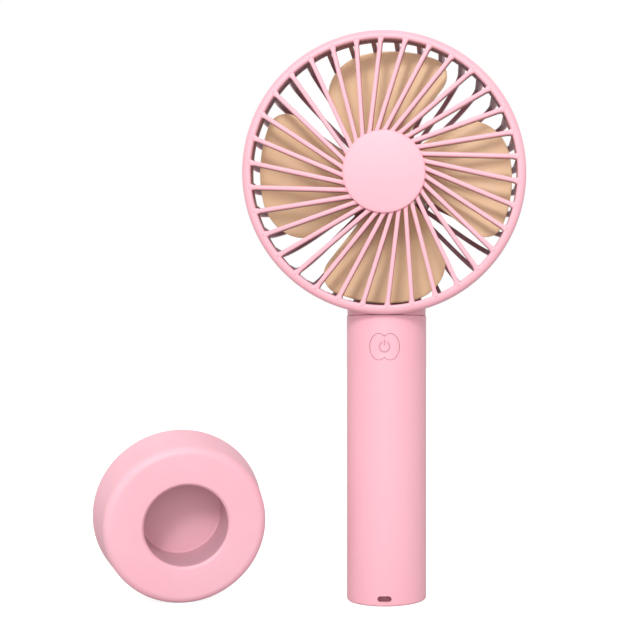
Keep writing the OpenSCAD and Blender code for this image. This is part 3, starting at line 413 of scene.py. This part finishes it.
# %% [markdown]
# ## Effects that several finishes share
# Moulded plastic isn't one flat colour. The mould's fine spark texture breaks up the gloss, the colour
# drifts slightly where the wall is thicker, and hands polish it in soft patches. Each effect is a node
# group, built once, so that every material can place it with its own values. Object coordinates keep the
# pattern fixed to the piece.

# %% Shader groups
GRAIN_SCALE = 2600.0


def new_group(name, inputs, outputs):
    """An empty shader group with named sockets, and its two end nodes."""
    group = bpy.data.node_groups.new(name, "ShaderNodeTree")
    for label, kind, value in inputs:
        entry = group.interface.new_socket(label, in_out="INPUT", socket_type="NodeSocket" + kind)
        entry.default_value = value
    for label, kind in outputs:
        group.interface.new_socket(label, in_out="OUTPUT", socket_type="NodeSocket" + kind)
    return group, group.nodes.new("NodeGroupInput"), group.nodes.new("NodeGroupOutput")


def feed(tree, entry, value):
    """Gives a node's input its value: a link where the value is another node's socket, or else a setting."""
    if isinstance(value, bpy.types.NodeSocket):
        tree.links.new(value, entry)
    else:
        entry.default_value = value


def noise(tree, coordinates, scale, detail, roughness=0.55):
    """A noise texture on the given coordinates. Here and below, a value is a number, a colour or a socket."""
    node = tree.nodes.new("ShaderNodeTexNoise")
    feed(tree, node.inputs["Vector"], coordinates)
    feed(tree, node.inputs["Scale"], scale)
    feed(tree, node.inputs["Detail"], detail)
    feed(tree, node.inputs["Roughness"], roughness)
    return node.outputs["Fac"]


def remap(tree, value, low, high, to_low, to_high):
    """A smooth step: low..high becomes to_low..to_high, and what lies outside stays at the ends."""
    node = tree.nodes.new("ShaderNodeMapRange")
    node.interpolation_type = "SMOOTHSTEP"
    feed(tree, node.inputs["Value"], value)
    for label, amount in (("From Min", low), ("From Max", high), ("To Min", to_low), ("To Max", to_high)):
        feed(tree, node.inputs[label], amount)
    return node.outputs["Result"]


def tint(tree, factor, colour, other):
    """Mixes two colours: colour * (1 - factor) + other * factor."""
    node = tree.nodes.new("ShaderNodeMix")
    node.data_type = "RGBA"
    feed(tree, node.inputs["Factor"], factor)
    feed(tree, node.inputs[6], colour)
    feed(tree, node.inputs[7], other)
    return node.outputs[2]


def step(tree, operation, first, second=0.0):
    """One step of arithmetic with two values, or with the first alone."""
    node = tree.nodes.new("ShaderNodeMath")
    node.operation = operation
    feed(tree, node.inputs[0], first)
    feed(tree, node.inputs[1], second)
    return node.outputs[0]


def vector_step(tree, operation, first, second):
    """One step with two vectors. A dot product gives a value, the others give a vector."""
    node = tree.nodes.new("ShaderNodeVectorMath")
    node.operation = operation
    feed(tree, node.inputs[0], first)
    feed(tree, node.inputs[1], second)
    return node.outputs["Value" if operation == "DOT_PRODUCT" else "Vector"]


def length_of(tree, first, second):
    """The length of a two-part vector: the root of the sum of the squares."""
    squares = [step(tree, "MULTIPLY", part, part) for part in (first, second)]
    return step(tree, "SQRT", step(tree, "ADD", *squares))


def moulded_skin_group():
    """Spark texture and slow drift: Colour goes towards Deep by the drift, Height is the fine grain."""
    group, inputs, outputs = new_group(
        "moulded_skin",
        [("Colour", "Color", (1, 1, 1, 1)), ("Deep", "Color", (1, 1, 1, 1)), ("Grain", "Float", GRAIN_SCALE),
         ("Smooth", "Float", 0.4), ("Rough", "Float", 0.5)],
        [("Colour", "Color"), ("Roughness", "Float"), ("Height", "Float")])
    place = group.nodes.new("ShaderNodeTexCoord").outputs["Object"]
    drift = noise(group, place, 26.0, 3.0)
    grain = noise(group, place, inputs.outputs["Grain"], 2.0)
    deep = remap(group, drift, 0.3, 0.75, 0.0, 1.0)
    group.links.new(
        tint(group, deep, inputs.outputs["Colour"], inputs.outputs["Deep"]), outputs.inputs["Colour"])
    group.links.new(
        remap(group, drift, 0.25, 0.75, inputs.outputs["Smooth"], inputs.outputs["Rough"]),
        outputs.inputs["Roughness"])
    group.links.new(grain, outputs.inputs["Height"])
    return group


def drawn_metal_group():
    """Fine lines along one axis: the coordinates are stretched, so that the noise becomes strokes."""
    group, inputs, outputs = new_group(
        "drawn_metal",
        [("Colour", "Color", (1, 1, 1, 1)), ("Deep", "Color", (1, 1, 1, 1)),
         ("Stretch", "Vector", (1, 1, 1))],
        [("Colour", "Color"), ("Roughness", "Float"), ("Height", "Float")])
    place = group.nodes.new("ShaderNodeTexCoord").outputs["Object"]
    stretched = vector_step(group, "MULTIPLY", place, inputs.outputs["Stretch"])
    stroke = noise(group, stretched, 1.0, 4.0, 0.7)
    deep = remap(group, stroke, 0.35, 0.65, 0.0, 1.0)
    group.links.new(
        tint(group, deep, inputs.outputs["Colour"], inputs.outputs["Deep"]), outputs.inputs["Colour"])
    group.links.new(remap(group, stroke, 0.3, 0.7, 0.24, 0.42), outputs.inputs["Roughness"])
    group.links.new(stroke, outputs.inputs["Height"])
    return group


moulded_skin = moulded_skin_group()
drawn_metal = drawn_metal_group()
print("shader groups:", moulded_skin.name, drawn_metal.name)

# %% [markdown]
# The inside of the cage is the one place that stays dim in a light tent: the sides of the spokes, the ring's
# inner wall and the ribs behind the blades all read as a dull mauve. That shade is painted into the shell's
# colour. A group works out how deep a point lies under the head's outer skin, which is a cylinder with a
# rounded rear edge and a flat front. That is the distance rule for a box with round corners, taken in the
# plane of radius and depth.

# %% Depth inside the cage
RIM_R, GUARD_REACH, SHOULDER = 51.1, 18.7, 17.0


# This depth is the mask of the painted shade inside the cage.
def cage_depth_group():
    """Depth in mm under the skin = the smaller of the distance behind the face and
    shoulder - (length of the positive part of q + the smaller of 0 and q's larger part), where
    q = (radius, distance back) - (rim radius, guard's reach) + shoulder. Deep is 0 at the skin and 1
    inside."""
    group, inputs, outputs = new_group(
        "cage_depth", [("Start", "Float", 0.25), ("End", "Float", 2.2)], [("Deep", "Float")])
    place = group.nodes.new("ShaderNodeSeparateXYZ")
    group.links.new(group.nodes.new("ShaderNodeTexCoord").outputs["Object"], place.inputs[0])
    aside, back, up = (step(group, "MULTIPLY", place.outputs[axis], 1 / MM) for axis in "XYZ")
    up = step(group, "SUBTRACT", up, HEAD_Z)
    q_out = step(group, "ADD", length_of(group, aside, up), SHOULDER - RIM_R)
    q_back = step(group, "ADD", back, SHOULDER - GUARD_REACH)
    corner = length_of(group, step(group, "MAXIMUM", q_out, 0.0), step(group, "MAXIMUM", q_back, 0.0))
    middle = step(group, "MINIMUM", step(group, "MAXIMUM", q_out, q_back), 0.0)
    under_side = step(group, "SUBTRACT", SHOULDER, step(group, "ADD", corner, middle))
    under_face = step(group, "ADD", back, FACE)
    depth = step(group, "MINIMUM", under_side, under_face)
    deep = remap(group, depth, inputs.outputs["Start"], inputs.outputs["End"], 0.0, 1.0)
    group.links.new(deep, outputs.inputs["Deep"])
    return group


cage_depth = cage_depth_group()
print("shader group:", cage_depth.name, "with", len(cage_depth.nodes), "nodes")

# %% [markdown]
# ## Finishes
# Each of the record's material slots gets one material. Most are moulded plastic or rubber and take the
# same group with their own colours, grain and gloss. The metals take the drawn-metal group. Numbers that
# are the same all over a surface, such as its metalness, are set on the shader itself.

# %% Material makers
GRAIN_STRENGTH, GRAIN_DEPTH = 0.35, 0.02
LINE_STRENGTH, LINE_DEPTH = 0.2, 0.01
COAT_ROUGHNESS = 0.25


def shader(name):
    """A new node material: its tree and its Principled shader."""
    material = bpy.data.materials.new(name)
    material.use_nodes = True
    tree = material.node_tree
    return material, tree, tree.nodes["Principled BSDF"]


def bump(tree, surface, height, strength, distance):
    """Lets a height bend the shading normal; distance is how deep the pattern is, in mm."""
    node = tree.nodes.new("ShaderNodeBump")
    node.inputs["Strength"].default_value = strength
    node.inputs["Distance"].default_value = distance * MM
    tree.links.new(height, node.inputs["Height"])
    tree.links.new(node.outputs["Normal"], surface.inputs["Normal"])


def place_group(tree, group, **values):
    """A node that places a shader group, with its inputs set by name. Returns its outputs."""
    node = tree.nodes.new("ShaderNodeGroup")
    node.node_tree = group
    for label, value in values.items():
        node.inputs[label].default_value = value
    return node.outputs


def moulded(name, colour, deep, smooth, rough, grain=GRAIN_SCALE, depth=GRAIN_DEPTH, coat=0.0, over=None):
    """Moulded plastic, rubber, paper or sintered stuff: the moulded-skin group on a plain shader. over may
    change its colour further."""
    material, tree, surface = shader(name)
    skin = place_group(
        tree, moulded_skin, Colour=(*colour, 1), Deep=(*deep, 1), Grain=grain, Smooth=smooth, Rough=rough)
    seen = over(tree, skin["Colour"]) if over else skin["Colour"]
    tree.links.new(seen, surface.inputs["Base Color"])
    tree.links.new(skin["Roughness"], surface.inputs["Roughness"])
    surface.inputs["Coat Weight"].default_value = coat
    surface.inputs["Coat Roughness"].default_value = COAT_ROUGHNESS
    bump(tree, surface, skin["Height"], GRAIN_STRENGTH, depth)
    return material


def metal(name, colour, deep, stretch):
    """Drawn, turned or plated metal: the drawn-metal group on a metallic shader."""
    material, tree, surface = shader(name)
    lines = place_group(tree, drawn_metal, Colour=(*colour, 1), Deep=(*deep, 1), Stretch=stretch)
    tree.links.new(lines["Colour"], surface.inputs["Base Color"])
    tree.links.new(lines["Roughness"], surface.inputs["Roughness"])
    surface.inputs["Metallic"].default_value = 1.0
    bump(tree, surface, lines["Height"], LINE_STRENGTH, LINE_DEPTH)
    return material


# %% [markdown]
# The shell, the button and the base share one pink with a satin gloss, a touch paler on the base. On the
# shell, shade is painted into the colour: it goes over to mauve inside the cage. On the button the raised
# power sign is a little darker, and on the base shade is painted inside the socket. The tan of the blades
# carries faint streaks along the radius, where the plastic flowed outwards in the mould. Those follow the
# blade, not the room, so they read the blade's own UV map.

# %% Materials
# The mauve and the socket tone below are painted shade, for the inside of the cage and of the socket.
PINK, PINK_DEEP, SHADE_MAUVE = (0.95, 0.485, 0.56), (0.935, 0.46, 0.535), (0.28, 0.125, 0.16, 1)
BUTTON_PINK, SIGN_TONE = (0.95, 0.495, 0.57), (0.62, 0.30, 0.36, 1)
BASE_PINK, SOCKET_SHADE = (0.955, 0.53, 0.61), (0.63, 0.38, 0.43, 1)
TAN, TAN_DEEP, TAN_STREAK = (0.95, 0.645, 0.39), (0.90, 0.60, 0.355), (0.97, 0.72, 0.50, 1)
BUTTON_Z, SIGN_R, SIGN_GAP = 95.4, 1.87, 0.94  # the sign's ring, and half of the gap in it
LINE_CORE, LINE_EDGE = 0.2, 0.34  # a line of the sign fades out between these distances from its middle
BAR_MIDDLE, BAR_HALF, BAR_FADE = 1.5, 1.0, 0.14
SOCKET_MOUTH = lying(np.array([0.0, 0.0, BASE_HEIGHT]))
SOCKET_OUT = lying(np.array([0.0, 0.0, BASE_HEIGHT + 1])) - SOCKET_MOUTH
SOCKET_DEPTH = BASE_HEIGHT - SOCKET_FLOOR


def painted_cage_shade(tree, colour):
    """The colour with painted shade: it goes over to mauve with the depth inside the cage."""
    return tint(tree, place_group(tree, cage_depth)["Deep"], colour, SHADE_MAUVE)


def darker_sign(tree, colour):
    """The colour, darker on the power sign: near the line of a circle outside its gap, or near the bar."""
    place = tree.nodes.new("ShaderNodeSeparateXYZ")
    tree.links.new(tree.nodes.new("ShaderNodeTexCoord").outputs["Object"], place.inputs[0])
    aside = step(tree, "ABSOLUTE", step(tree, "MULTIPLY", place.outputs["X"], 1 / MM))
    up = step(tree, "ADD", step(tree, "MULTIPLY", place.outputs["Z"], 1 / MM), -BUTTON_Z)
    from_ring = step(tree, "ABSOLUTE", step(tree, "SUBTRACT", length_of(tree, aside, up), SIGN_R))
    beside, above = step(tree, "LESS_THAN", aside, SIGN_GAP), step(tree, "GREATER_THAN", up, 0.0)
    outside_gap = step(tree, "SUBTRACT", 1.0, step(tree, "MULTIPLY", beside, above))
    on_circle = remap(tree, from_ring, LINE_CORE, LINE_EDGE, 1.0, 0.0)
    circle = step(tree, "MULTIPLY", on_circle, outside_gap)
    from_middle = step(tree, "ABSOLUTE", step(tree, "SUBTRACT", up, BAR_MIDDLE))
    on_bar = remap(tree, aside, LINE_CORE, LINE_EDGE, 1.0, 0.0)
    within_bar = remap(tree, from_middle, BAR_HALF, BAR_HALF + BAR_FADE, 1.0, 0.0)
    bar = step(tree, "MULTIPLY", on_bar, within_bar)
    return tint(tree, step(tree, "MAXIMUM", circle, bar), colour, SIGN_TONE)


def painted_socket_shade(tree, colour):
    """The colour with painted shade inside the base's socket. From a point's offset q to the middle of the
    mouth, depth = -q . out, and radius = the root of q . q - depth^2, where out is the base's axis. The floor
    gets half as much painted shade as the wall."""
    place = tree.nodes.new("ShaderNodeTexCoord").outputs["Object"]
    offset = vector_step(tree, "SUBTRACT", place, SOCKET_MOUTH * MM)
    outwards = vector_step(tree, "DOT_PRODUCT", offset, SOCKET_OUT)
    depth = step(tree, "MULTIPLY", outwards, -1 / MM)
    distance_square = step(tree, "MULTIPLY", vector_step(tree, "DOT_PRODUCT", offset, offset), 1 / MM**2)
    square = step(tree, "SUBTRACT", distance_square, step(tree, "MULTIPLY", depth, depth))
    radius = step(tree, "SQRT", step(tree, "MAXIMUM", square, 0.0))
    in_bore = remap(tree, radius, SOCKET_R + 0.1, SOCKET_R + 0.9, 1.0, 0.0)
    under_mouth = remap(tree, depth, 0.3, 2.5, 0.0, 1.0)
    on_wall = remap(tree, depth, SOCKET_DEPTH - 0.7, SOCKET_DEPTH - 0.1, 1.0, 0.5)
    # Painted shade: full on the socket's wall, half on its floor.
    dull = step(tree, "MULTIPLY", step(tree, "MULTIPLY", in_bore, under_mouth), on_wall)
    return tint(tree, dull, colour, SOCKET_SHADE)


def flow_streaks(tree, colour):
    """The colour, with pale streaks: noise on UV that is stretched along the radius, mixed in lightly."""
    along = tree.nodes.new("ShaderNodeUVMap")
    along.uv_map = "along"
    stretch = tree.nodes.new("ShaderNodeMapping")
    stretch.inputs["Scale"].default_value = (26.0, 2.2, 1.0)
    tree.links.new(along.outputs["UV"], stretch.inputs["Vector"])
    streak = noise(tree, stretch.outputs["Vector"], 1.0, 3.0)
    return tint(tree, remap(tree, streak, 0.42, 0.72, 0.0, 0.35), colour, TAN_STREAK)


finishes = {
    "pink_shell": moulded("pink_shell", PINK, PINK_DEEP, 0.36, 0.46, over=painted_cage_shade),
    "pink_button": moulded("pink_button", BUTTON_PINK, PINK_DEEP, 0.32, 0.42, over=darker_sign),
    "pink_base": moulded("pink_base", BASE_PINK, PINK, 0.38, 0.5, over=painted_socket_shade),
    "tan_blade": moulded("tan_blade", TAN, TAN_DEEP, 0.46, 0.58, over=flow_streaks),
    "white_nylon": moulded("white_nylon", (0.80, 0.78, 0.73), (0.74, 0.71, 0.64), 0.4, 0.55),
    "black_plastic": moulded("black_plastic", (0.03, 0.03, 0.034), (0.05, 0.05, 0.055), 0.35, 0.5),
    "board_green": moulded(
        "board_green", (0.03, 0.15, 0.07), (0.02, 0.11, 0.05), 0.25, 0.35, 900.0, 0.01, 0.5),
    "cell_sleeve": moulded(
        "cell_sleeve", (0.06, 0.2, 0.42), (0.05, 0.16, 0.36), 0.2, 0.3, 700.0, 0.02, 0.6),
    "insulator_paper": moulded(
        "insulator_paper", (0.83, 0.8, 0.7), (0.72, 0.68, 0.56), 0.75, 0.9, 4200.0, 0.04),
    "lead_red": moulded("lead_red", (0.5, 0.03, 0.03), (0.42, 0.02, 0.02), 0.4, 0.55),
    "lead_black": moulded("lead_black", (0.02, 0.02, 0.022), (0.035, 0.035, 0.04), 0.4, 0.55),
    "pad_rubber": moulded("pad_rubber", (0.05, 0.05, 0.055), (0.08, 0.08, 0.085), 0.65, 0.85, 3400.0, 0.05),
    "ferrite": moulded("ferrite", (0.1, 0.1, 0.11), (0.06, 0.06, 0.07), 0.5, 0.7, 3000.0, 0.03),
    "motor_steel": metal("motor_steel", (0.62, 0.63, 0.65), (0.5, 0.51, 0.53), (900, 90, 900)),
    "screw_steel": metal("screw_steel", (0.58, 0.58, 0.6), (0.44, 0.44, 0.46), (1500, 1500, 1500)),
    "core_steel": metal("core_steel", (0.3, 0.31, 0.33), (0.2, 0.21, 0.23), (60, 3200, 60)),
    "bronze": metal("bronze", (0.72, 0.52, 0.25), (0.58, 0.4, 0.18), (1200, 1200, 1200)),
    "copper": metal("copper", (0.72, 0.36, 0.2), (0.6, 0.27, 0.14), (400, 2600, 400)),
}
print("materials:", len(finishes))


# %% Give every piece its finish
def wear(piece, slot):
    """One material on the whole piece."""
    piece.data.materials.clear()
    piece.data.materials.append(finishes[slot])


for part in frame["record"]["subparts"]:
    wear(nodes[part["node"]], part["material_slot"])
for piece in (front_grille, hub_disc, impeller, base):
    wear(piece, piece["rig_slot"])

# %% [markdown]
# ## Floor and light
# The picture is on plain white. A large pale floor does that, with two soft boxes in front, one of them
# raised, and an even glow from all sides. The glow is kept low, so that the inside of the head stays darker
# than its face. The floor shines faintly to the camera alone, so that no horizon shows.


# %% Studio
def soft_box(name, place, aim, size, power):
    """A square area light at a place, turned to face the aim."""
    light = bpy.data.lights.new(name, "AREA")
    light.size, light.energy = size, power
    lamp = bpy.data.objects.new(name, light)
    bpy.context.scene.collection.objects.link(lamp)
    lamp.location = place
    away = np.array(place) - np.array(aim)
    lamp.rotation_euler = (
        math.atan2(math.hypot(away[0], away[1]), away[2]), 0, math.atan2(away[0], -away[1]))
    print(name + ":", power, "W,", size, "m wide, at", place)


FLOOR_GLOW, SKY_GLOW, SKY_SEEN = 0.85, 0.76, 1.0


def pale_floor(half_size=6.0):
    """One flat square at the height of the fan's foot."""
    corner = np.array([-half_size, half_size])
    x, y = np.meshgrid(corner, corner, indexing="ij")
    mesh = bpy.data.meshes.new("floor")
    mesh.from_pydata(np.stack([x, y, 0 * x], axis=-1).reshape(-1, 3), [], [[0, 2, 3, 1]])
    floor = bpy.data.objects.new("floor", mesh)
    bpy.context.scene.collection.objects.link(floor)
    material, tree, surface = shader("floor")
    surface.inputs["Base Color"].default_value = (0.5, 0.5, 0.5, 1)
    surface.inputs["Roughness"].default_value = 0.9
    surface.inputs["Specular IOR Level"].default_value = 0.0
    surface.inputs["Emission Color"].default_value = (1, 1, 1, 1)
    seen_directly = tree.nodes.new("ShaderNodeLightPath").outputs["Is Camera Ray"]
    tree.links.new(step(tree, "MULTIPLY", seen_directly, FLOOR_GLOW), surface.inputs["Emission Strength"])
    mesh.materials.append(material)


def even_glow():
    """A white world: one strength for what it lights, and another where the camera sees it."""
    world = bpy.data.worlds.new("glow")
    bpy.context.scene.world = world
    world.use_nodes = True
    sky = world.node_tree
    seen = sky.nodes.new("ShaderNodeLightPath")
    level = sky.nodes.new("ShaderNodeMapRange")
    level.inputs["To Min"].default_value = SKY_GLOW
    level.inputs["To Max"].default_value = SKY_SEEN
    sky.links.new(seen.outputs["Is Camera Ray"], level.inputs["Value"])
    background = sky.nodes["Background"]
    background.inputs["Color"].default_value = (1, 1, 1, 1)
    sky.links.new(level.outputs["Result"], background.inputs["Strength"])


FAN_MIDDLE = (0.0, 0.0, 0.11)
pale_floor()
even_glow()
soft_box("key", (0.1, -1.0, 0.2), FAN_MIDDLE, 1.1, 4.0)
soft_box("top", (-0.12, -0.95, 0.68), FAN_MIDDLE, 0.22, 4.8)
bpy.context.scene.view_settings.view_transform = "Standard"
print("studio: one floor, two soft boxes and a glow")
